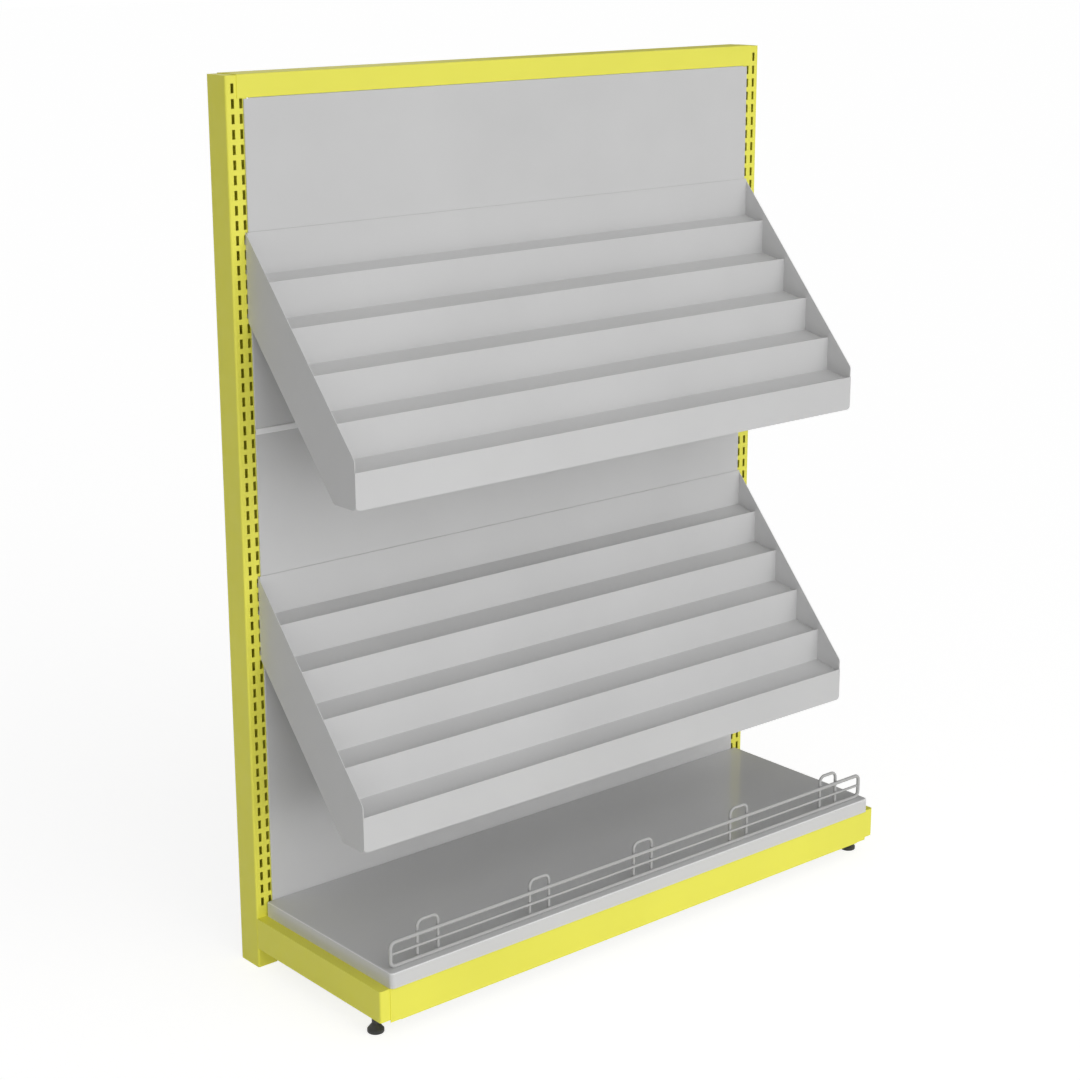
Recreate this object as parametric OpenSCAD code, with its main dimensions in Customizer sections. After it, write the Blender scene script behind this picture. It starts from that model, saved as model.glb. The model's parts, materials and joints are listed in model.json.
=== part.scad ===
// Book display bay: a slotted steel frame that carries two stepped book racks,
// a base deck with a low wire fence, and two levelling feet. Sizes are in millimetres.
// Modules are written with the front faces of the uprights at y = 0 and the front towards -y.

/* [Bay] */
// Distance between the centre lines of the two uprights
bay_pitch = 1200; // [900:10:1250]
// Height from the floor to the top of the top rail
bay_height = 1600; // [1450:25:2400]
// Distance from the front of the uprights to the front of the base deck
base_depth = 380; // [350:5:450]

/* [Uprights] */
// Width of an upright across the bay
upright_w = 42; // [38:1:46]
// Depth of an upright from front to back
upright_d = 57; // [50:1:70]
// Wall of an upright
upright_wall = 1.5; // [1:0.1:2.5]
// Outside corner radius of an upright
upright_round = 3.5; // [3:0.5:6]
// Step between the slots up an upright
slot_pitch = 25; // [20:1:40]
// Width of a slot
slot_w = 6; // [5:0.5:7]
// Height of a slot
slot_h = 16; // [14:0.5:18]
// Distance between the two columns of slots
slot_gap = 16; // [14:0.5:18]
// Distance from the top of the bay to the middle of the first slot
slot_first = 22.5; // [20:0.5:30]

/* [Top rail] */
// Height of the top rail's front face
top_rail_h = 38.5; // [34:0.5:60]
// Sheet of the top rail
top_rail_sheet = 1.2; // [0.8:0.1:2]

/* [Back panels] */
// Sheet of the back panels
panel_sheet = 1; // [0.8:0.1:1.2]
// Distance that the panels stand in front of the uprights
panel_stand = 3; // [2.8:0.1:4]
// Height of the joint between the two panels above the floor
panel_joint_z = 998; // [900:0.5:1100]
// Visible height of the strip that covers the joint
strip_h = 10.5; // [6:0.5:20]
// Thickness of the strip in front of the panels
strip_stand = 2; // [1:0.1:2]

/* [Base] */
// Gap between the floor and the underside of the legs
leg_clear = 38.5; // [34:0.5:60]
// Height of the legs
leg_h = 58.5; // [50:0.5:80]
// Wall of the legs
leg_wall = 1.5; // [1:0.1:2.5]
// Gap between the floor and the kick plate
kick_clear = 32; // [20:0.5:34]
// Sheet of the kick plate
kick_sheet = 1.2; // [0.8:0.1:1.5]
// Distance from the deck's front edge back to the kick plate
kick_setback = 4.3; // [3:0.1:8]
// Height of the deck's edge where it rests on the legs
deck_edge_h = 28.5; // [22:0.5:40]
// Sheet of the deck
deck_sheet = 1.2; // [1:0.1:1.5]
// Radius of the deck's front corners seen from above
deck_round = 8; // [6:0.5:20]
// Inside radius of the bend along the deck's top edges
deck_bend = 2; // [1:0.1:4]

/* [Fence] */
// Distance from the deck's front edge back to the middle of the rails
fence_setback = 17.8; // [15:0.1:30]
// Width of the fence over its end wires
fence_w = 1184; // [880:1:1186]
// Height of the fence over its rails
fence_h = 51; // [40:1:80]
// Wire of the outer frame
fence_wire = 7; // [5:0.5:8]
// Wire of the middle rail
mid_wire = 5; // [4:0.5:6]
// Wire of the five loops
loop_wire = 6; // [4:0.5:7]
// Distance between the two legs of a loop
loop_w = 45; // [35:1:60]
// Height of the loops above the deck
loop_h = 72; // [70:1:120]

/* [Racks] */
// Height of the lower rack's top hooks above the floor
lower_rack_hang = 727.5; // [700:2.5:850]
// Distance from the lower rack up to the upper rack
rack_spacing = 600; // [550:25:700]
// Rise from one board to the next
step_rise = 70; // [50:1:75]
// Run from one board to the next
step_run = 61.5; // [45:0.5:75]
// Distance from the uprights to the first board
first_run = 53; // [40:1:70]
// Sheet of the boards and floors
rack_sheet = 1.2; // [0.8:0.1:1.5]
// Sheet of the cheeks
cheek_sheet = 1.5; // [1.2:0.1:2.5]
// Height of the cheeks' sloping edge over the boards
cheek_rise = 18; // [10:1:30]
// Height of the front rail
front_rail_h = 64; // [40:1:80]
// Depth of each pocket's floor below the lip in front of it
lip_h = 6; // [3:0.5:12]
// Fall of each pocket's floor from back to front
floor_fall = 12; // [4:0.5:16]

/* [Feet] */
// Diameter of a foot's pad
foot_pad_d = 30; // [24:1:36]
// Height of the pad up to the underside of its collar
foot_pad_h = 16; // [14:0.5:18]
// Diameter of a foot's stud
foot_stud_d = 10; // [8:1:12]
// Distance from the front end of a leg back to its foot
foot_inset = 43.5; // [30:0.5:60]

/* [Hidden] */
// Facets on a full circle, and on the small arcs of folded sheet
$fn = 48;
bend_steps = 3;
corner_steps = 6;
// Counts set by the list of nodes
board_count = 5;
loop_count = 5;
// Overrun of a cut past the face that it opens
over = 1;
// Overlap of the sheet pieces that make one folded part
lap = 1;

// Clearances
press_gap = 0.05;
weld_gap = 0.05;
rest_gap = 0.3;
plug_gap = 0.1;
thread_gap = 0.1;
hook_gap = 0.3;
hook_seat = 0.2;
hole_gap = 0.2;
peg_gap = 0.5;
panel_edge_gap = 1;
rail_end_gap = 0.3;

// Frame lines
bay_half = bay_pitch / 2;
upright_inner = bay_half - upright_w / 2;
column_in = bay_half - slot_gap / 2;
column_out = bay_half + slot_gap / 2;
leg_top = leg_clear + leg_h;
leg_mid = leg_clear + leg_h / 2;
slot_low_margin = 20;
slot_rows = floor((bay_height - slot_first - leg_top - slot_low_margin) / slot_pitch) + 1;

// Caps and plugs of the uprights
cap_t = 1.5;
cap_skirt = 10;
cap_wall = 2;
plug_h = 12;
plug_recess = 1;
cap_z = bay_height - top_rail_sheet - cap_t;

// Top rail and its rivets
top_rail_bend = 1;
top_rail_low = bay_height - top_rail_h;
top_rail_back = upright_d + top_rail_sheet;
rivet_d = 4;
rivet_head_d = 8;
rivet_head_h = 1.5;
rivet_tail_d = 6;
rivet_tail_h = 2.5;
rivet_inset = 11;
rivet_rise = 9;

// The whole part is centred on the origin from front to back
face_y = (base_depth - top_rail_back - rivet_head_h) / 2;

// Lower cross bar with its end plates and bolts
bar_d = 25;
bar_h = 40;
bar_wall = 1.5;
bar_low = 60;
bar_y = 10;
bar_plate_t = 3;
bar_plate_d = 42;
bolt_d = 8;
bolt_key = 13;
bolt_head_h = 5.3;
bolt_nut_h = 6.5;
bolt_end = 2;
bolt_back = 9;
bolt_rise = 10;
bar_top = bar_low + bar_h;

// Back panels, their stiffeners and the strip between them
panel_half = column_in - slot_w / 2 - panel_edge_gap;
panel_inner = upright_inner - 2 * panel_edge_gap;
hem_w = 8;
hem_bend_share = 0.4;
hem_bend = (panel_stand - 2 * panel_sheet) * hem_bend_share;
panel_lap = hem_bend + panel_sheet;
panel_top = top_rail_low - panel_edge_gap / 2;
tongue_h = 25;
panel_flange = 15;
bar_flange = 20;
web_t = 1;
stiffener_w = 60;
stiffener_lip = 12;
stiffener_d = 18;
stiffener_sheet = 1;
stiffener_gap = 1;

// Kick plate and its hooks
leg_front = base_depth - kick_setback - kick_sheet;
leg_round = 3.5;
kick_bend = 0.8;
kick_return = 12;
kick_hook_t = 2.5;
kick_hook_side = 0.5;
kick_slot_w = kick_hook_t + 2 * kick_hook_side;
kick_hook_d = 2.5;
kick_hook_neck = 6;
kick_hook_tip = 6.5;
kick_hook_inset = 10;
kick_hook_x = bay_half - kick_hook_inset;
kick_hook_rise = 12;
kick_top = leg_top;

// Base deck
deck_top = leg_top + deck_edge_h;
deck_under = deck_top - deck_sheet;
deck_front_gap = 0.5;
deck_front_low = leg_top + deck_front_gap;
deck_rear_gap = 1;
deck_rear = panel_stand + deck_rear_gap;
deck_rear_h = 20;
deck_front_return = 11;
deck_side_return = 15;
deck_return_clear = 14;
stud_d = 6;
stud_h = 8;
stud_x = bay_half - deck_sheet - deck_side_return / 2;
stud_front_inset = 70;
stud_front_y = base_depth - stud_front_inset;
stud_rear_y = 60;
beam_w = 36;
beam_d = 15;
beam_lip = 12;
beam_sheet = 1.2;
beam_end = 4;
front_beam_share = 0.66;
rear_beam_share = 0.33;

// Fence
fence_y = base_depth - fence_setback;
fence_low = deck_top + rest_gap + fence_wire / 2;
fence_high = fence_low + fence_h - fence_wire;
fence_mid = (fence_low + fence_high) / 2;
fence_half = (fence_w - fence_wire) / 2;
fence_round = 10;
loop_round = 12;
loop_y = fence_y - (fence_wire + loop_wire) / 2 - weld_gap;
mid_y = fence_y - (fence_wire - mid_wire) / 2;
loop_high = deck_top + loop_h - loop_wire / 2;
loop_low = deck_top + rest_gap;
loop_pitch_share = 0.21;
loop_pitch = bay_pitch * loop_pitch_share;
peg_d = 5;
peg_h = 12;

// Feet
foot_y = leg_front - foot_inset;
foot_rim_h = 6;
foot_rim_round = 1.5;
foot_neck_d = 14;
foot_collar_key = 13;
foot_collar_h = 16;
foot_stud_seat = 8;
foot_stud_reach = 32;
foot_stud_top = leg_clear + leg_wall + foot_stud_reach;
nut_key = 17;
nut_h = 8;

// Racks, measured from the middle of the slot that takes the top hooks
rack_gap = 0.4;
rack_bend = 1;
rack_flange = 12;
rack_relief = 2;
rack_end_flange = 12;
hook_drop = 12.5;
hook_neck = 7;
hook_tip = 6;
hook_d = 2.8;
cheek_front_round = 10;
rail_round = 8;
rail_return = 14;
cheek_x = column_in;
rack_half = cheek_x - cheek_sheet / 2;
slope = step_rise / step_run;
back_y = panel_stand + rack_gap + rack_sheet;
cheek_top = hook_drop;
first_top = cheek_top - cheek_rise - first_run * slope;
rack_front = first_run + (board_count - 1) * step_run;
rail_top = first_top - (board_count - 1) * step_rise;
rail_low = rail_top - front_rail_h;
cheek_flat = first_run + (board_count - 2) * step_run;
cheek_rear_low = rail_low + cheek_flat * slope;
hook_reach = slot_h / 2 + hook_tip;
low_hook_row = floor((-cheek_rear_low - hook_reach) / slot_pitch);
hook_rows = [0, floor(low_hook_row / 2), low_hook_row];

// Heights of the slots, and of the slots that carry the two racks
function slot_z(row) = bay_height - slot_first - slot_pitch * row;
function row_at(z) = round((slot_z(0) - z) / slot_pitch);
lower_rack_z = slot_z(row_at(lower_rack_hang));
upper_rack_z = slot_z(row_at(lower_rack_hang + rack_spacing));

// Colours
yellow = [0.91, 0.89, 0.35];
pale = [0.80, 0.80, 0.80];
deck_grey = [0.58, 0.58, 0.57];
wire_grey = [0.70, 0.70, 0.69];
steel = [0.62, 0.63, 0.65];
black = [0.13, 0.13, 0.13];

// Plane geometry for folded sheet. A path runs along one face of the sheet,
// and the sheet lies on the left of the path.
function unit(v) = v / norm(v);
function left_of(v) = [-v[1], v[0]];
function turn(a, b) = atan2(a[0] * b[1] - a[1] * b[0], a[0] * b[0] + a[1] * b[1]);
function spun(v, angle) = [v[0] * cos(angle) - v[1] * sin(angle), v[0] * sin(angle) + v[1] * cos(angle)];

// Arc round the corner p, tangent to both legs, moved left by the given shift
function arc_at(before, p, after, radius, shift, steps) =
    let (a = unit(p - before), t = turn(a, unit(after - p)), s = sign(t))
    let (centre = p - a * radius * tan(abs(t) / 2) + s * left_of(a) * radius)
    [for (k = [0:steps]) centre - s * spun(left_of(a), t * k / steps) * (radius - s * shift)];

function bend_radius(before, p, after, thick, radius) =
    turn(p - before, after - p) > 0 ? radius + thick : radius;

function bend_at(path, i, thick, radius, shift) =
    arc_at(path[i - 1], path[i], path[i + 1],
        bend_radius(path[i - 1], path[i], path[i + 1], thick, radius), shift, bend_steps);

function reversed(list) = [for (i = [len(list) - 1:-1:0]) list[i]];

function fold(path, thick, radius) =
    let (last = len(path) - 1)
    let (near = [for (i = [1:last - 1]) each bend_at(path, i, thick, radius, 0)])
    let (far = [for (i = [1:last - 1]) each bend_at(path, i, thick, radius, thick)])
    let (first_side = left_of(unit(path[1] - path[0])) * thick)
    let (last_side = left_of(unit(path[last] - path[last - 1])) * thick)
    concat([path[0]], near, [path[last], path[last] + last_side], reversed(far), [path[0] + first_side]);

// Closed outline with a radius of its own at each corner, where zero keeps the corner sharp
function rounded(points, radii) =
    let (n = len(points))
    [for (i = [0:n - 1]) each radii[i] > 0
        ? arc_at(points[(i + n - 1) % n], points[i], points[(i + 1) % n], radii[i], 0, corner_steps)
        : [points[i]]];

// Placing
module at_face() { translate([0, face_y, 0]) children(); }
module other_side() { mirror([1, 0, 0]) children(); }
module both_sides() {
    children();
    mirror([1, 0, 0]) children();
}
module slab(low, high) { translate(low) cube(high - low); }
// A section drawn as (y, z) and run along x
module along_x(from, to) { translate([from, 0, 0]) rotate([90, 0, 90]) linear_extrude(to - from) children(); }
// An outline drawn as (x, z) and run along y
module along_y(from, to) { translate([0, to, 0]) rotate([90, 0, 0]) linear_extrude(to - from) children(); }
module round_rect(w, d, r) {
    square([w - 2 * r, d], center = true);
    square([w, d - 2 * r], center = true);
    for (x = [-1, 1], y = [-1, 1]) translate([x * (w / 2 - r), y * (d / 2 - r)]) circle(r = r);
}
module hex(key, h) { cylinder(h = h, d = key / cos(30), $fn = 6); }
// Hat section: lips on y = 0, hollow towards +y
module hat_section(w, d, lip, thick, radius) {
    polygon(fold([
        [-w / 2 - lip, 0], [-w / 2, 0], [-w / 2, d], [w / 2, d], [w / 2, 0], [w / 2 + lip, 0]
    ], thick, radius));
}

// Uprights, drawn on the right side
module upright_section(inset) {
    round_rect(upright_w - 2 * inset, upright_d - 2 * inset, upright_round - inset);
}
module upright_run(from, to, inset) {
    translate([bay_half, upright_d / 2, from]) linear_extrude(to - from) upright_section(inset);
}
module slot_column(x) {
    for (row = [0:slot_rows - 1])
        slab([x - slot_w / 2, -over, slot_z(row) - slot_h / 2],
            [x + slot_w / 2, upright_wall + over, slot_z(row) + slot_h / 2]);
}
module upright() {
    difference() {
        upright_run(0, cap_z, 0);
        upright_run(-over, cap_z + over, upright_wall);
        slot_column(column_in);
        slot_column(column_out);
        rivet_holes();
        bolt_holes();
    }
}
module upright_cap() {
    intersection() {
        upright_run(cap_z, cap_z + cap_t, 0);
        along_x(upright_inner, upright_inner + upright_w) translate([0, cap_z]) polygon([
            [0, 0], [upright_d, 0], [upright_d, cap_t - top_rail_bend], [upright_d - top_rail_bend, cap_t],
            [top_rail_bend, cap_t], [0, cap_t - top_rail_bend]
        ]);
    }
    difference() {
        upright_run(cap_z - cap_skirt, cap_z + lap, upright_wall + plug_gap);
        upright_run(cap_z - cap_skirt - over, cap_z, upright_wall + cap_wall);
        rivet_clearance();
    }
}
module upright_plug() {
    difference() {
        upright_run(plug_recess, plug_recess + plug_h, upright_wall + plug_gap);
        upright_run(plug_recess + cap_wall, plug_recess + plug_h + over, upright_wall + cap_wall);
    }
}

// Top rail, folded over both faces of the uprights and riveted at the back
module top_rail() {
    end = bay_half - rail_end_gap;
    difference() {
        along_x(-end, end) polygon(fold([
            [top_rail_back, top_rail_low], [top_rail_back, bay_height],
            [-top_rail_sheet, bay_height], [-top_rail_sheet, top_rail_low]
        ], top_rail_sheet, top_rail_bend));
        both_sides() rivet_holes();
    }
}
module at_rivets() {
    for (rise = [-1, 1])
        translate([bay_half - rivet_inset, upright_d, top_rail_low + top_rail_h / 2 + rise * rivet_rise])
            rotate([-90, 0, 0]) children();
}
module rivet_holes() {
    at_rivets() translate([0, 0, -upright_wall - over])
        cylinder(h = upright_wall + top_rail_sheet + 2 * over, d = rivet_d + hole_gap);
}
module rivet_clearance() {
    at_rivets() translate([0, 0, -cap_skirt]) cylinder(h = cap_skirt, d = rivet_tail_d + 2 * peg_gap);
}
module rivet() {
    radius = (rivet_head_d * rivet_head_d / 4 + rivet_head_h * rivet_head_h) / (2 * rivet_head_h);
    translate([0, 0, top_rail_sheet]) intersection() {
        translate([0, 0, rivet_head_h - radius]) sphere(r = radius);
        cylinder(h = rivet_head_h, d = rivet_head_d);
    }
    translate([0, 0, -upright_wall]) cylinder(h = upright_wall + top_rail_sheet + press_gap, d = rivet_d);
    translate([0, 0, -upright_wall - rivet_tail_h]) cylinder(h = rivet_tail_h, d = rivet_tail_d);
}
module top_rail_rivets() { both_sides() at_rivets() rivet(); }

// Lower cross bar, bolted between the uprights
module at_bolts() {
    for (rise = [-1, 1])
        translate([upright_inner, bar_y + bar_plate_d - bolt_back, bar_low + bar_h / 2 + rise * bolt_rise])
            rotate([0, 90, 0]) children();
}
module bolt_holes() {
    at_bolts() translate([0, 0, -bar_plate_t - over])
        cylinder(h = bar_plate_t + upright_wall + 2 * over, d = bolt_d + 2 * hole_gap);
}
module lower_cross_bar() {
    tube_end = upright_inner - bar_plate_t;
    difference() {
        slab([-tube_end, bar_y, bar_low], [tube_end, bar_y + bar_d, bar_top]);
        slab([-tube_end - over, bar_y + bar_wall, bar_low + bar_wall],
            [tube_end + over, bar_y + bar_d - bar_wall, bar_top - bar_wall]);
    }
    both_sides() difference() {
        slab([tube_end, bar_y, bar_low], [upright_inner, bar_y + bar_plate_d, bar_top]);
        bolt_holes();
    }
}
module bolt() {
    translate([0, 0, -bar_plate_t - bolt_head_h]) hex(bolt_key, bolt_head_h);
    translate([0, 0, -bar_plate_t])
        cylinder(h = bar_plate_t + upright_wall + bolt_nut_h + bolt_end, d = bolt_d);
    translate([0, 0, upright_wall]) hex(bolt_key, bolt_nut_h);
}
module cross_bar_bolts() { both_sides() at_bolts() bolt(); }

// Back panels with hemmed sides, and flanges that pass between the uprights
module panel_face(low, high) {
    translate([0, 0, low]) linear_extrude(high - low) polygon(fold([
        [-panel_half + hem_w, 0], [-panel_half, 0], [-panel_half, -panel_stand],
        [panel_half, -panel_stand], [panel_half, 0], [panel_half - hem_w, 0]
    ], panel_sheet, hem_bend));
}
module panel_foot(z, reach) {
    along_x(-panel_inner, panel_inner) polygon(fold([
        [-panel_stand, z + panel_lap + lap], [-panel_stand, z], [reach - panel_stand, z]
    ], panel_sheet, hem_bend));
}
module panel_tongue() {
    along_x(-panel_inner, panel_inner) polygon(fold([
        [rest_gap, panel_top + tongue_h], [rest_gap, panel_top],
        [-panel_stand, panel_top], [-panel_stand, panel_top - panel_lap - lap]
    ], panel_sheet, hem_bend));
}
module panel_head(z) {
    along_x(-panel_inner, panel_inner) polygon(fold([
        [panel_flange - panel_stand, z], [-panel_stand, z], [-panel_stand, z - panel_lap - lap]
    ], panel_sheet, hem_bend));
}
module upper_back_panel() {
    low = panel_joint_z + web_t / 2;
    panel_face(low + panel_lap, panel_top - panel_lap);
    panel_foot(low, panel_flange);
    panel_tongue();
}
module lower_back_panel() {
    high = panel_joint_z - web_t / 2;
    panel_face(bar_top + panel_lap, high - panel_lap);
    panel_head(high);
    panel_foot(bar_top, panel_stand + bar_y + bar_flange);
}
module panel_stiffener(low, high) {
    translate([0, panel_sheet - panel_stand, low]) linear_extrude(high - low)
        hat_section(stiffener_w, stiffener_d, stiffener_lip, stiffener_sheet, stiffener_sheet);
}
module upper_panel_stiffener() {
    inset = panel_sheet + stiffener_gap;
    panel_stiffener(panel_joint_z + web_t / 2 + inset, panel_top - inset);
}
module lower_panel_stiffener() {
    inset = panel_sheet + stiffener_gap;
    panel_stiffener(bar_top + inset, panel_joint_z - web_t / 2 - inset);
}
module panel_joint_strip() {
    front = -panel_stand - strip_stand;
    edge = strip_stand / 2;
    along_x(-panel_half, panel_half) translate([0, panel_joint_z]) polygon(rounded([
        [front, -strip_h / 2], [-panel_stand, -strip_h / 2], [-panel_stand, strip_h / 2], [front, strip_h / 2]
    ], [edge, 0, 0, edge]));
    slab([-panel_inner, -panel_stand - strip_stand / 2, panel_joint_z - web_t / 2],
        [panel_inner, panel_flange - panel_stand, panel_joint_z + web_t / 2]);
}

// Base leg, drawn on the right side: a closed box with rounded front edges
module leg_outline(inset) {
    x0 = upright_inner + inset;
    x1 = upright_inner + upright_w - inset;
    front = inset - leg_front;
    radius = leg_round - inset;
    polygon(rounded([[x0, front], [x1, front], [x1, inset > 0 ? over : 0], [x0, inset > 0 ? over : 0]],
        [radius, radius, 0, 0]));
}
module base_leg() {
    difference() {
        translate([0, 0, leg_clear]) linear_extrude(leg_h) leg_outline(0);
        translate([0, 0, leg_clear + leg_wall]) linear_extrude(leg_h - 2 * leg_wall) leg_outline(leg_wall);
        at_kick_hooks() slab([-kick_slot_w / 2, -over, -hook_seat],
            [kick_slot_w / 2, leg_wall + over, kick_hook_neck + kick_hook_tip + kick_hook_side]);
        translate([bay_half, -foot_y, leg_clear - over])
            cylinder(h = leg_wall + 2 * over, d = foot_stud_d + 2 * peg_gap);
        for (y = [stud_front_y, stud_rear_y]) translate([stud_x, -y, leg_top - leg_wall - over])
            cylinder(h = leg_wall + 2 * over, d = stud_d + 2 * peg_gap);
    }
}

// Kick plate, hooked into the front ends of the legs
module at_kick_hooks() {
    for (rise = [-1, 1])
        translate([kick_hook_x, -leg_front, leg_mid + rise * kick_hook_rise - kick_hook_neck / 2]) children();
}
module kick_plate() {
    face = -leg_front - kick_sheet;
    end_low = kick_bend + kick_sheet;
    along_x(-panel_inner, panel_inner) polygon(fold([
        [face + kick_return, kick_top], [face, kick_top], [face, kick_clear], [face + kick_return, kick_clear]
    ], kick_sheet, kick_bend));
    both_sides()
        slab([panel_inner - lap, face, kick_clear + end_low], [bay_half, -leg_front, kick_top - end_low]);
    back = leg_wall + hook_gap;
    both_sides() at_kick_hooks() {
        slab([-kick_hook_t / 2, -lap, 0], [kick_hook_t / 2, back + kick_hook_d, kick_hook_neck]);
        slab([-kick_hook_t / 2, back, -kick_hook_tip], [kick_hook_t / 2, back + kick_hook_d, kick_hook_neck]);
    }
}

// Base deck: a folded tray that rests on the legs
module deck_skirt(low, depth) {
    polygon(fold([[0, low], [0, deck_top], [-depth, deck_top]], deck_sheet, deck_bend));
}
module deck_corner() {
    translate([bay_half - deck_round, deck_round - base_depth, 0]) rotate([0, 0, -90])
        rotate_extrude(angle = 90) polygon(fold([
            [deck_round, deck_front_low], [deck_round, deck_top], [0, deck_top]
        ], deck_sheet, deck_bend));
}
module base_deck() {
    side = bay_half - deck_round;
    front = deck_round - base_depth;
    difference() {
        union() {
            slab([-side, front, deck_under], [side, -deck_rear, deck_top]);
            along_x(-side, side) translate([-base_depth, 0]) mirror([1, 0])
                deck_skirt(deck_front_low, deck_round);
            both_sides() {
                deck_corner();
                along_y(front, -deck_rear) translate([bay_half, 0]) deck_skirt(leg_top, deck_round);
            }
        }
        for (i = [1:loop_count]) translate([loop_x(i), -fence_y, deck_under - over])
            cylinder(h = deck_sheet + 2 * over, d = peg_d + 2 * peg_gap);
    }
    slab([-side, -deck_rear - deck_sheet, deck_top - deck_rear_h],
        [side, -deck_rear, deck_top - deck_sheet / 2]);
    front_end = bay_half - deck_side_return - deck_sheet - over;
    slab([-front_end, deck_sheet / 2 - base_depth, deck_front_low],
        [front_end, deck_sheet + deck_front_return - base_depth, deck_front_low + deck_sheet]);
    both_sides() {
        slab([bay_half - deck_sheet - deck_side_return, deck_return_clear - base_depth, leg_top],
            [bay_half - deck_sheet / 2, -deck_rear - deck_return_clear, leg_top + deck_sheet]);
        for (y = [stud_front_y, stud_rear_y])
            translate([stud_x, -y, leg_top - stud_h]) cylinder(h = stud_h + deck_sheet / 2, d = stud_d);
    }
}
module deck_beam(share) {
    end = upright_inner - beam_end;
    along_x(-end, end) translate([-base_depth * share, deck_under]) mirror([0, 1])
        hat_section(beam_w, beam_d, beam_lip, beam_sheet, beam_sheet);
}

// Wire fence, standing in the deck on pegs
function loop_x(i) = (i - (loop_count + 1) / 2) * loop_pitch;
module wire_bend(radius, wire) { rotate_extrude(angle = 90) translate([radius, 0]) circle(d = wire); }
module fence_frame() {
    run_x = fence_half - fence_round;
    run_z = (fence_high - fence_low) / 2 - fence_round;
    translate([0, -fence_y, fence_mid]) {
        for (side = [-1, 1]) {
            translate([-run_x, 0, side * (fence_high - fence_low) / 2]) rotate([0, 90, 0])
                cylinder(h = 2 * run_x, d = fence_wire);
            translate([side * fence_half, 0, -run_z]) cylinder(h = 2 * run_z, d = fence_wire);
        }
        for (quarter = [0:3]) {
            x = quarter == 0 || quarter == 3 ? run_x : -run_x;
            z = quarter < 2 ? run_z : -run_z;
            translate([x, 0, z]) rotate([90, 0, 0]) rotate([0, 0, 90 * quarter])
                wire_bend(fence_round, fence_wire);
        }
    }
}
module fence_mid_rail() {
    difference() {
        translate([-fence_half, -mid_y, fence_mid]) rotate([0, 90, 0])
            cylinder(h = 2 * fence_half, d = mid_wire);
        for (side = [-1, 1]) translate([side * fence_half, -fence_y, fence_low])
            cylinder(h = fence_high - fence_low, d = fence_wire + 2 * weld_gap);
    }
}
module fence_loop(i) {
    half = loop_w / 2;
    translate([loop_x(i), -loop_y, 0]) {
        for (side = [-1, 1])
            translate([side * half, 0, loop_low])
                cylinder(h = loop_high - loop_round - loop_low, d = loop_wire);
        translate([loop_round - half, 0, loop_high]) rotate([0, 90, 0])
            cylinder(h = loop_w - 2 * loop_round, d = loop_wire);
        translate([half - loop_round, 0, loop_high - loop_round]) rotate([90, 0, 0])
            wire_bend(loop_round, loop_wire);
        translate([loop_round - half, 0, loop_high - loop_round]) rotate([90, 0, 0]) rotate([0, 0, 90])
            wire_bend(loop_round, loop_wire);
    }
}
module fence_pegs() {
    for (i = [1:loop_count]) difference() {
        translate([loop_x(i), -fence_y, deck_top - peg_h])
            cylinder(h = fence_low - deck_top + peg_h, d = peg_d);
        translate([loop_x(i) - peg_d, -fence_y, fence_low]) rotate([0, 90, 0])
            cylinder(h = 2 * peg_d, d = fence_wire + 2 * weld_gap);
    }
}

// Levelling feet, drawn on the right side
module at_foot(z) { translate([bay_half, -foot_y, z]) children(); }
module foot_pad() {
    rim = foot_pad_d / 2;
    difference() {
        at_foot(0) {
            rotate_extrude() polygon(rounded([
                [0, 0], [rim, 0], [rim, foot_rim_h], [foot_neck_d / 2, foot_pad_h], [0, foot_pad_h]
            ], [0, foot_rim_round, foot_rim_round, 0, 0]));
            translate([0, 0, foot_pad_h]) hex(foot_collar_key, foot_collar_h);
        }
        at_foot(foot_stud_seat) cylinder(h = foot_pad_h + foot_collar_h, d = foot_stud_d + 2 * press_gap);
    }
}
module foot_stud() { at_foot(foot_stud_seat) cylinder(h = foot_stud_top - foot_stud_seat, d = foot_stud_d); }
module foot_nut() {
    at_foot(leg_clear + leg_wall) difference() {
        hex(nut_key, nut_h);
        translate([0, 0, -over]) cylinder(h = nut_h + 2 * over, d = foot_stud_d + 2 * thread_gap);
    }
}

// Racks: folded steps welded between two cheeks that hook into the uprights
function board_y(i) = i == 0 ? -back_y : -first_run - (i - 1) * step_run;
function board_top(i) = i == 0 ? cheek_top : first_top - (i - 1) * step_rise;
function board_foot(i) = board_top(i + 1) + floor_fall - lip_h;
module hook_outline(row) {
    low = -slot_pitch * row - slot_h / 2 + hook_seat;
    back = upright_wall + hook_gap;
    translate([-hook_gap - lap, low]) square([hook_gap + lap + back + hook_d, hook_neck]);
    translate([back, low - hook_tip]) square([hook_d, hook_tip + hook_neck]);
}
module cheek(z) {
    front = rack_sheet - rack_front;
    rear = -hook_gap;
    front_top = cheek_top + front * slope;
    translate([0, 0, z]) along_x(cheek_x - cheek_sheet / 2, cheek_x + cheek_sheet / 2) {
        polygon(rounded([
            [rear, cheek_top + rear * slope], [front, front_top], [front, rail_low],
            [-cheek_flat, rail_low], [rear, cheek_rear_low + rear * slope]
        ], [0, cheek_front_round, rail_round, 0, 0]));
        for (row = hook_rows) hook_outline(row);
    }
}
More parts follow.
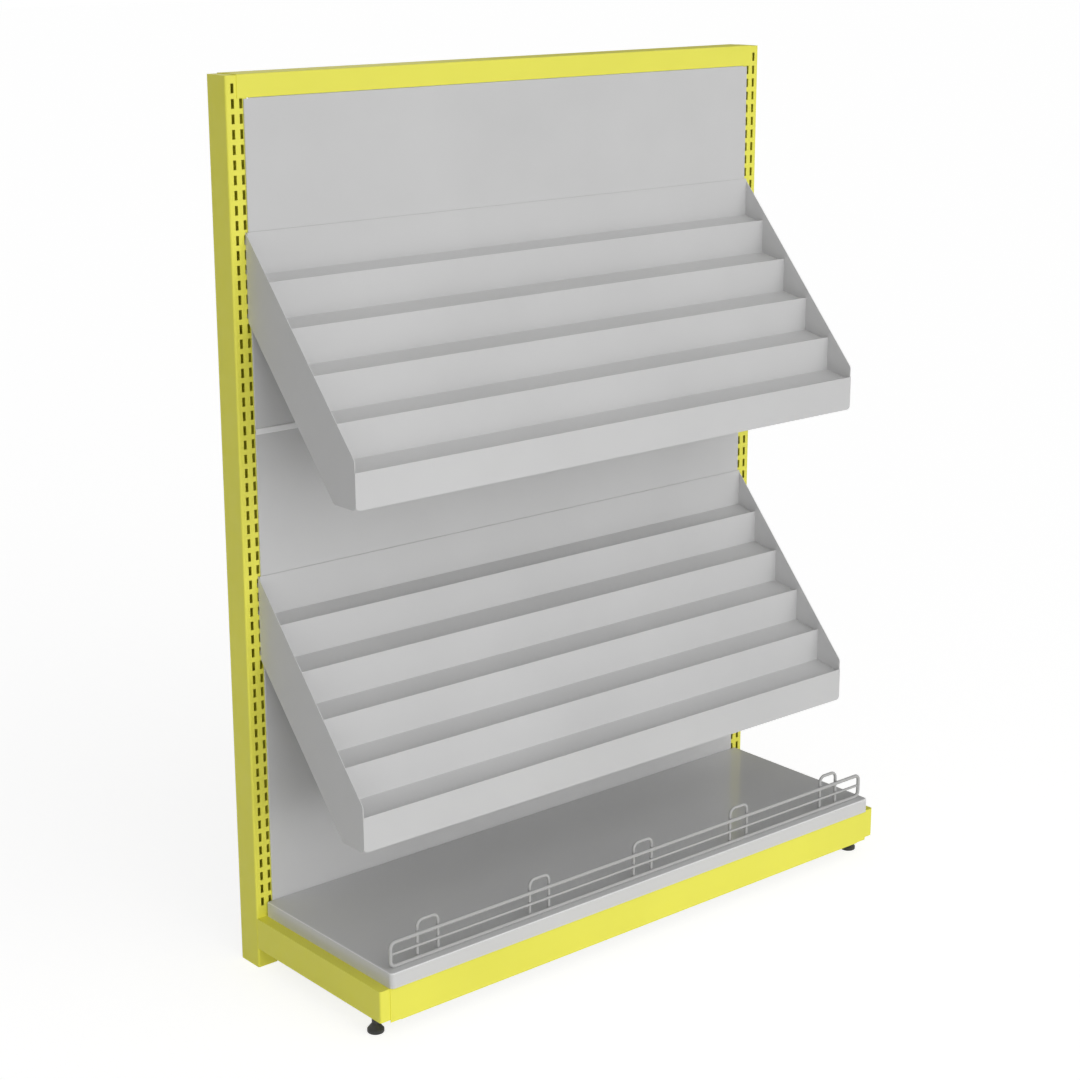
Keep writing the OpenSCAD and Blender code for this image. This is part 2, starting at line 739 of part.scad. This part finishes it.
module rack_step(i, z) {
    next_y = board_y(i + 1) + rack_sheet;
    next_z = board_top(i + 1) - lip_h;
    translate([0, 0, z]) {
        along_x(-rack_half, rack_half) polygon(fold([
            [board_y(i), board_top(i)], [board_y(i), board_foot(i)],
            [next_y, next_z], [next_y, next_z - rack_flange]
        ], rack_sheet, rack_bend));
        if (i > 0) both_sides()
            slab([rack_half - rack_sheet, board_y(i) + rack_sheet / 2, board_foot(i) + rack_relief],
                [rack_half, board_y(i) + rack_end_flange, board_top(i) - lip_h - rack_flange - rack_relief]);
    }
}
module front_rail(z) {
    half = cheek_x + cheek_sheet / 2;
    translate([0, 0, z]) {
        along_y(-rack_front, rack_sheet - rack_front) polygon(rounded([
            [-half, rail_top], [-half, rail_low], [half, rail_low], [half, rail_top]
        ], [0, rail_round, rail_round, 0]));
        slab([rail_round - rack_half, rack_sheet / 2 - rack_front, rail_low],
            [rack_half - rail_round, rail_return - rack_front, rail_low + rack_sheet]);
    }
}

color(yellow) at_face() other_side() upright();  // left_upright
color(yellow) at_face() upright();  // right_upright
color(yellow) at_face() other_side() upright_cap();  // left_upright_cap
color(yellow) at_face() upright_cap();  // right_upright_cap
color(black) at_face() other_side() upright_plug();  // left_upright_plug
color(black) at_face() upright_plug();  // right_upright_plug
color(yellow) at_face() other_side() base_leg();  // left_base_leg
color(yellow) at_face() base_leg();  // right_base_leg
color(yellow) at_face() top_rail();
color(steel) at_face() top_rail_rivets();
color(yellow) at_face() lower_cross_bar();
color(steel) at_face() cross_bar_bolts();
color(pale) at_face() upper_back_panel();
color(pale) at_face() lower_back_panel();
color(pale) at_face() upper_panel_stiffener();
color(pale) at_face() lower_panel_stiffener();
color(pale) at_face() panel_joint_strip();
color(yellow) at_face() kick_plate();
color(deck_grey) at_face() base_deck();
color(deck_grey) at_face() deck_beam(front_beam_share);  // front_deck_stiffener
color(deck_grey) at_face() deck_beam(rear_beam_share);  // rear_deck_stiffener
color(wire_grey) at_face() fence_frame();
color(wire_grey) at_face() fence_mid_rail();
color(wire_grey) at_face() fence_loop(1);  // fence_loop_1
color(wire_grey) at_face() fence_loop(2);  // fence_loop_2
color(wire_grey) at_face() fence_loop(3);  // fence_loop_3
color(wire_grey) at_face() fence_loop(4);  // fence_loop_4
color(wire_grey) at_face() fence_loop(5);  // fence_loop_5
color(wire_grey) at_face() fence_pegs();
color(black) at_face() other_side() foot_pad();  // left_foot_pad
color(black) at_face() foot_pad();  // right_foot_pad
color(steel) at_face() other_side() foot_stud();  // left_foot_stud
color(steel) at_face() foot_stud();  // right_foot_stud
color(steel) at_face() other_side() foot_nut();  // left_foot_nut
color(steel) at_face() foot_nut();  // right_foot_nut
color(pale) at_face() other_side() cheek(upper_rack_z);  // upper_left_cheek
color(pale) at_face() cheek(upper_rack_z);  // upper_right_cheek
color(pale) at_face() rack_step(0, upper_rack_z);  // upper_rack_back
color(pale) at_face() rack_step(1, upper_rack_z);  // upper_tier_1
color(pale) at_face() rack_step(2, upper_rack_z);  // upper_tier_2
color(pale) at_face() rack_step(3, upper_rack_z);  // upper_tier_3
color(pale) at_face() rack_step(4, upper_rack_z);  // upper_tier_4
color(pale) at_face() front_rail(upper_rack_z);  // upper_front_rail
color(pale) at_face() other_side() cheek(lower_rack_z);  // lower_left_cheek
color(pale) at_face() cheek(lower_rack_z);  // lower_right_cheek
color(pale) at_face() rack_step(0, lower_rack_z);  // lower_rack_back
color(pale) at_face() rack_step(1, lower_rack_z);  // lower_tier_1
color(pale) at_face() rack_step(2, lower_rack_z);  // lower_tier_2
color(pale) at_face() rack_step(3, lower_rack_z);  // lower_tier_3
color(pale) at_face() rack_step(4, lower_rack_z);  // lower_tier_4
color(pale) at_face() front_rail(lower_rack_z);  // lower_front_rail
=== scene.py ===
import json
import math

import bmesh
import bpy
from mathutils import Matrix, Vector


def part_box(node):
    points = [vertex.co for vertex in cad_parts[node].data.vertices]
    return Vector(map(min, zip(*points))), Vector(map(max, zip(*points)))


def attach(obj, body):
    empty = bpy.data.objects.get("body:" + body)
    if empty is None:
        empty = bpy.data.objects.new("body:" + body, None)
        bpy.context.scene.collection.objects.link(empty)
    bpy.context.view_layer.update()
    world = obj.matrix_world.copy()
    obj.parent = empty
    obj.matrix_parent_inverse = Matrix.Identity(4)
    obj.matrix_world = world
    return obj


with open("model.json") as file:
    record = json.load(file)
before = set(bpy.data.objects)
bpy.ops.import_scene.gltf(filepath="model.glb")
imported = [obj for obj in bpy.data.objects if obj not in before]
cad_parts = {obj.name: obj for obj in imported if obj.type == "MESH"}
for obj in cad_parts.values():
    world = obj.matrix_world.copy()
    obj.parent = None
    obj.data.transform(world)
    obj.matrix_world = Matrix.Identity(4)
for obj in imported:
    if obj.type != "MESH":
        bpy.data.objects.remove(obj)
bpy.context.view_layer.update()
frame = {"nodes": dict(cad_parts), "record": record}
nodes = frame["nodes"]
scene = bpy.context.scene


# Camera: solved from the photo's edges, with the step of the uprights' slots as the scale.
# Its place is measured from the uprights' front face, in metres, and its angles are in degrees.
FACE_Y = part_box("right_upright")[0][1]
LOOK_DOWN, LOOK_ASIDE, ROLL = 15.592, -39.843, 0.206
camera_data = bpy.data.cameras.new("camera")
camera_data.sensor_fit = "HORIZONTAL"
camera_data.sensor_width = 36.0
camera_data.lens = 74.01
camera_data.shift_x = 0.0199
camera_data.shift_y = -0.0068
camera_data.clip_end = 50.0
camera = bpy.data.objects.new("camera", camera_data)
camera.location = (-2.6168, FACE_Y - 3.1416, 1.8526)
camera.rotation_euler = [math.radians(a) for a in (90 - LOOK_DOWN, ROLL, LOOK_ASIDE)]
scene.collection.objects.link(camera)
scene.camera = camera


# Node trees
def new_tree(name):
    material = bpy.data.materials.new(name)
    material.use_nodes = True
    tree = material.node_tree
    tree.nodes.clear()
    return material, tree


def add(tree, kind, **settings):
    made = tree.nodes.new(kind)
    for key, value in settings.items():
        setattr(made, key, value)
    return made


def compute(tree, operation, *values):
    """A Math node on sockets, numbers or both."""
    made = add(tree, "ShaderNodeMath", operation=operation)
    for place, value in zip(made.inputs, values):
        if isinstance(value, (int, float)):
            place.default_value = value
        else:
            tree.links.new(value, place)
    return made.outputs["Value"]


def blend(tree, factor, first, second):
    """A colour Mix node: first and second are colours or sockets."""
    made = add(tree, "ShaderNodeMix", data_type="RGBA")
    tree.links.new(factor, made.inputs["Factor"])
    for key, value in (("A", first), ("B", second)):
        if isinstance(value, tuple):
            made.inputs[key].default_value = value
        else:
            tree.links.new(value, made.inputs[key])
    return made.outputs["Result"]


def noise(tree, coords, scale, detail=2.0, rough=0.5):
    """Noise whose scale is in cells per metre."""
    made = add(tree, "ShaderNodeTexNoise", noise_dimensions="3D")
    made.inputs["Scale"].default_value = scale
    made.inputs["Detail"].default_value = detail
    made.inputs["Roughness"].default_value = rough
    tree.links.new(coords, made.inputs["Vector"])
    return made.outputs["Fac"]


def spread(tree, source, low, high, start=0.3, stop=0.7):
    """Maps start to stop, the middle of a noise unless given, onto low to high."""
    made = add(tree, "ShaderNodeMapRange")
    made.inputs["From Min"].default_value = start
    made.inputs["From Max"].default_value = stop
    made.inputs["To Min"].default_value = low
    made.inputs["To Max"].default_value = high
    tree.links.new(source, made.inputs["Value"])
    return made.outputs["Result"]


def srgb(r, g, b):
    """A colour as seen on a screen, 0 to 255, made linear."""
    def linear(c):
        c = c / 255.0
        return c / 12.92 if c <= 0.04045 else ((c + 0.055) / 1.055) ** 2.4
    return (linear(r), linear(g), linear(b), 1.0)


def shade(color, factor):
    return tuple(c * factor for c in color[:3]) + (1.0,)


def folds(tree, coords):
    """1 on the rounded edges between a flat top and an upright side, 0 on both: where the painted
    highlight goes.
    """
    axes = add(tree, "ShaderNodeSeparateXYZ")
    tree.links.new(coords.outputs["Normal"], axes.inputs[0])
    level = compute(tree, "MULTIPLY", axes.outputs["Z"], axes.outputs["Z"])
    both = compute(tree, "MULTIPLY", level, compute(tree, "SUBTRACT", 1.0, level))
    return spread(tree, both, low=0.0, high=1.0, start=0.05, stop=0.25)


def start_material(name):
    """A material with one Principled shader: material, tree, shader and its coordinates."""
    material, tree = new_tree(name)
    out = add(tree, "ShaderNodeOutputMaterial")
    shader = add(tree, "ShaderNodeBsdfPrincipled")
    tree.links.new(shader.outputs["BSDF"], out.inputs["Surface"])
    return material, tree, shader, add(tree, "ShaderNodeTexCoord")


def roughen(tree, shader, height, strength, depth):
    """Bump from a noise, as deep as depth in metres."""
    bump = add(tree, "ShaderNodeBump")
    bump.inputs["Strength"].default_value = strength
    bump.inputs["Distance"].default_value = depth
    tree.links.new(height, bump.inputs["Height"])
    tree.links.new(bump.outputs["Normal"], shader.inputs["Normal"])


def painted(name, color, rough, peel=0.12, cloud=0.03, spec=0.5, uneven=0.05, fold_highlight=0.0):
    """Powder coat over sheet.

    It has orange peel about 1.5 mm across, faint clouding, uneven gloss and dull rubs. peel is the
    bump's strength, cloud the change of colour, uneven that of roughness, and fold_highlight how
    much
    lighter the folds are painted: a painted highlight where the rounded edges catch the light.
    """
    material, tree, shader, places = start_material(name)
    shader.inputs["Specular IOR Level"].default_value = spec
    coords = places.outputs["Object"]
    clouds = spread(tree, noise(tree, coords, scale=3.5, detail=3.0), low=0.0, high=1.0)
    paint = blend(tree, clouds, shade(color, 1.0 - cloud), shade(color, 1.0 + cloud))
    # The folds are painted lighter: a painted highlight for the light that the rounded edges catch.
    if fold_highlight:
        paint = blend(tree, folds(tree, places), paint, shade(color, 1.0 + fold_highlight))
    tree.links.new(paint, shader.inputs["Base Color"])
    gloss = spread(tree, noise(tree, coords, scale=40.0), rough - uneven, rough + uneven)
    patches = noise(tree, coords, scale=14.0, detail=6.0, rough=0.65)
    rubs = spread(tree, patches, low=0.0, high=2 * uneven, start=0.6, stop=0.72)
    tree.links.new(compute(tree, "ADD", gloss, rubs), shader.inputs["Roughness"])
    roughen(tree, shader, noise(tree, coords, scale=650.0, detail=1.0), peel, depth=0.00012)
    return material


def plated(name, color):
    """Zinc plating: metallic, with a fine spangle and uneven roughness."""
    material, tree, shader, places = start_material(name)
    shader.inputs["Metallic"].default_value = 1.0
    coords = places.outputs["Object"]
    cells = add(tree, "ShaderNodeTexVoronoi")
    cells.inputs["Scale"].default_value = 700.0
    tree.links.new(coords, cells.inputs["Vector"])
    metal = blend(tree, cells.outputs["Distance"], shade(color, 0.85), shade(color, 1.1))
    tree.links.new(metal, shader.inputs["Base Color"])
    gloss = spread(tree, noise(tree, coords, scale=300.0), low=0.32, high=0.5)
    tree.links.new(gloss, shader.inputs["Roughness"])
    return material


def moulded(name, color):
    """Moulded plastic with a fine matt grain."""
    material, tree, shader, places = start_material(name)
    coords = places.outputs["Object"]
    patches = spread(tree, noise(tree, coords, scale=60.0, detail=3.0), low=0.0, high=1.0)
    plastic = blend(tree, patches, shade(color, 0.8), shade(color, 1.25))
    tree.links.new(plastic, shader.inputs["Base Color"])
    gloss = spread(tree, noise(tree, coords, scale=200.0), low=0.42, high=0.6)
    tree.links.new(gloss, shader.inputs["Roughness"])
    roughen(tree, shader, noise(tree, coords, scale=1800.0, detail=1.0), strength=0.25, depth=0.0001)
    return material


YELLOW = painted("yellow_powder_coat", srgb(243, 239, 86), 0.5)
GREY = painted("grey_powder_coat", srgb(208, 208, 208), 0.55)
# The deck's rounded edges are painted lighter, a painted highlight.
DECK = painted("deck_powder_coat", srgb(216, 216, 216), 0.16, peel=0.02, cloud=0.012, spec=0.3,
               uneven=0.015, fold_highlight=0.35)
PALE = painted("pale_strip", srgb(244, 244, 244), 0.35, peel=0.04, cloud=0.01)
WIRE = painted("wire_powder_coat", srgb(184, 184, 183), 0.4, peel=0.08)
ZINC = plated("zinc_plating", srgb(198, 200, 205))
BLACK = moulded("black_plastic", srgb(46, 47, 44))

LOOKS = {
    "yellow_paint": YELLOW,
    "grey_paint": GREY,
    "deck_paint": DECK,
    "fence_wire": WIRE,
    "zinc_steel": ZINC,
    "black_plastic": BLACK,
}
slot_of = {part["node"]: part["material_slot"] for part in frame["record"]["subparts"]}
for name, thing in nodes.items():
    look = PALE if name == "panel_joint_strip" else LOOKS[slot_of[name]]
    if not thing.data.materials:
        thing.data.materials.append(look)
    for place in thing.material_slots:
        place.material = look


# Weld beads where the loops' legs cross the fence's rails, in metres
RAIL_RADIUS = 0.0035
LOOP_RADIUS = 0.003
BEAD_ASIDE = 0.0016
BEAD_BACK = 0.0002
BEAD_SIZE = (0.0022, 0.0019, 0.0026)


def bead(mesh, centre, size):
    made = bmesh.ops.create_uvsphere(mesh, u_segments=14, v_segments=8, radius=1.0)
    bmesh.ops.transform(mesh, verts=made["verts"],
                        matrix=Matrix.Translation(centre) @ Matrix.Diagonal((*size, 1.0)))


def fence_welds():
    rail_low, rail_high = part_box("fence_frame")
    mid_low, mid_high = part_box("fence_mid_rail")
    heights = (rail_low[2] + RAIL_RADIUS, (mid_low[2] + mid_high[2]) / 2, rail_high[2] - RAIL_RADIUS)
    mesh = bmesh.new()
    for i in range(1, 6):
        low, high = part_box("fence_loop_%d" % i)
        for x in (low[0] + LOOP_RADIUS, high[0] - LOOP_RADIUS):
            for z in heights:
                for side in (-1, 1):
                    centre = (x + side * BEAD_ASIDE, rail_high[1] + BEAD_BACK, z)
                    bead(mesh, centre, BEAD_SIZE)
    data = bpy.data.meshes.new("fence_welds")
    mesh.to_mesh(data)
    mesh.free()
    for face in data.polygons:
        face.use_smooth = True
    data.materials.append(WIRE)
    piece = bpy.data.objects.new("fence_welds", data)
    scene.collection.objects.link(piece)
    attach(piece, "wire_fence")


fence_welds()


# Floor, world and lamps
def background_rays(tree):
    """1 for rays that meet the white background: from the camera, mirrored or let through."""
    path = add(tree, "ShaderNodeLightPath")
    total = path.outputs["Is Camera Ray"]
    for kind in ("Is Glossy Ray", "Is Transmission Ray"):
        total = compute(tree, "MAXIMUM", total, path.outputs[kind])
    return total


def plane(name, corners):
    """An object of one face, and the empty node tree of its material."""
    mesh = bpy.data.meshes.new(name)
    mesh.from_pydata(corners, [], [(0, 1, 2, 3)])
    made = bpy.data.objects.new(name, mesh)
    scene.collection.objects.link(made)
    material, tree = new_tree(name)
    mesh.materials.append(material)
    return made, tree


def diffuse(tree, value):
    made = add(tree, "ShaderNodeBsdfDiffuse")
    made.inputs["Color"].default_value = (value, value, value, 1)
    return made.outputs["BSDF"]


def choose(tree, lit, background, out):
    """The background for the rays that meet it, and lit for the rest."""
    made = add(tree, "ShaderNodeMixShader")
    tree.links.new(background_rays(tree), made.inputs["Fac"])
    tree.links.new(lit, made.inputs[1])
    tree.links.new(background, made.inputs[2])
    tree.links.new(made.outputs["Shader"], out.inputs["Surface"])


# Half the floor's side in metres
FLOOR_HALF = 40
# Reflectance of the floor as the rack's light meets it, and its shadow and glow as it is seen
FLOOR_LIT, FLOOR_SEEN, FLOOR_GLOW = 0.92, 0.42, 0.81


def stage_floor():
    """A floor that lights the rack as white paper does, and looks white with a soft shadow."""
    sides = ((-1, -1), (1, -1), (1, 1), (-1, 1))
    floor, tree = plane("floor", [(x * FLOOR_HALF, y * FLOOR_HALF, 0) for x, y in sides])
    out = add(tree, "ShaderNodeOutputMaterial")
    glow = add(tree, "ShaderNodeEmission")
    glow.inputs["Strength"].default_value = FLOOR_GLOW
    both = add(tree, "ShaderNodeAddShader")
    tree.links.new(diffuse(tree, FLOOR_SEEN), both.inputs[0])
    tree.links.new(glow.outputs["Emission"], both.inputs[1])
    choose(tree, diffuse(tree, FLOOR_LIT), both.outputs["Shader"], out)


# Strengths of the world's lobes by the side that they shine from
LOBES = (
    ((0, -1, 0), 2.29),
    ((-1, 0, 0), 0.1),
    ((1, 0, 0), 0.29),
    ((0, 0, 1), 0.42),
)
# Power of the lamps in watts
FRONT_POWER = 11.9
LEFT_POWER = 7.4


def set_world():
    """Soft light from all round, stronger from the front, as from large panels of cloth."""
    world = bpy.data.worlds.new("studio")
    world.use_nodes = True
    scene.world = world
    tree = world.node_tree
    tree.nodes.clear()
    out = add(tree, "ShaderNodeOutputWorld")
    light = add(tree, "ShaderNodeBackground")
    white = add(tree, "ShaderNodeBackground")
    white.inputs["Color"].default_value = (1, 1, 1, 1)
    white.inputs["Strength"].default_value = 1.0
    direction = add(tree, "ShaderNodeTexCoord").outputs["Generated"]

    def lobe(axis, amount):
        """Falls off with the square of the cosine from its axis."""
        facing = add(tree, "ShaderNodeVectorMath", operation="DOT_PRODUCT")
        tree.links.new(direction, facing.inputs[0])
        facing.inputs[1].default_value = axis
        ahead = compute(tree, "MAXIMUM", facing.outputs["Value"], 0.0)
        return compute(tree, "MULTIPLY", compute(tree, "POWER", ahead, 2.0), amount)

    total = 0.0
    for axis, amount in LOBES:
        total = compute(tree, "ADD", lobe(axis, amount), total)
    tree.links.new(total, light.inputs["Strength"])
    choose(tree, light.outputs["Background"], white.outputs["Background"], out)


def softbox(name, place, target, size, power):
    """A lamp with a wide face, turned from its place to the target."""
    data = bpy.data.lights.new(name, "AREA")
    data.shape = "RECTANGLE"
    data.size, data.size_y = size
    data.energy = power
    lamp = bpy.data.objects.new(name, data)
    lamp.location = place
    lamp.rotation_euler = (Vector(place) - Vector(target)).to_track_quat("Z", "Y").to_euler()
    scene.collection.objects.link(lamp)


def dark_card(name, place, turn, size):
    """Black card beside the set, which only mirrored rays meet: it darkens the deck's far end."""
    half, high = size[0] / 2, size[1]
    card, tree = plane(name, [(-half, 0, 0), (half, 0, 0), (half, 0, high), (-half, 0, high)])
    card.location = place
    card.rotation_euler = (0, 0, math.radians(turn))
    out = add(tree, "ShaderNodeOutputMaterial")
    tree.links.new(diffuse(tree, 0.05), out.inputs["Surface"])
    card.visible_camera = False
    card.visible_diffuse = False
    card.visible_shadow = False


stage_floor()
set_world()
dark_card("right_card", place=(2.3, 1.2, 0.0), turn=-40, size=(2.6, 2.4))
softbox("front_softbox", place=(0.2, -3.4, 0.5), target=(0, 0, 0.5),
        size=(2.4, 0.9), power=FRONT_POWER)
softbox("left_softbox", place=(-3.0, -1.3, 0.35), target=(-0.5, 0, 0.55),
        size=(1.8, 0.6), power=LEFT_POWER)

scene.view_settings.view_transform = "Standard"
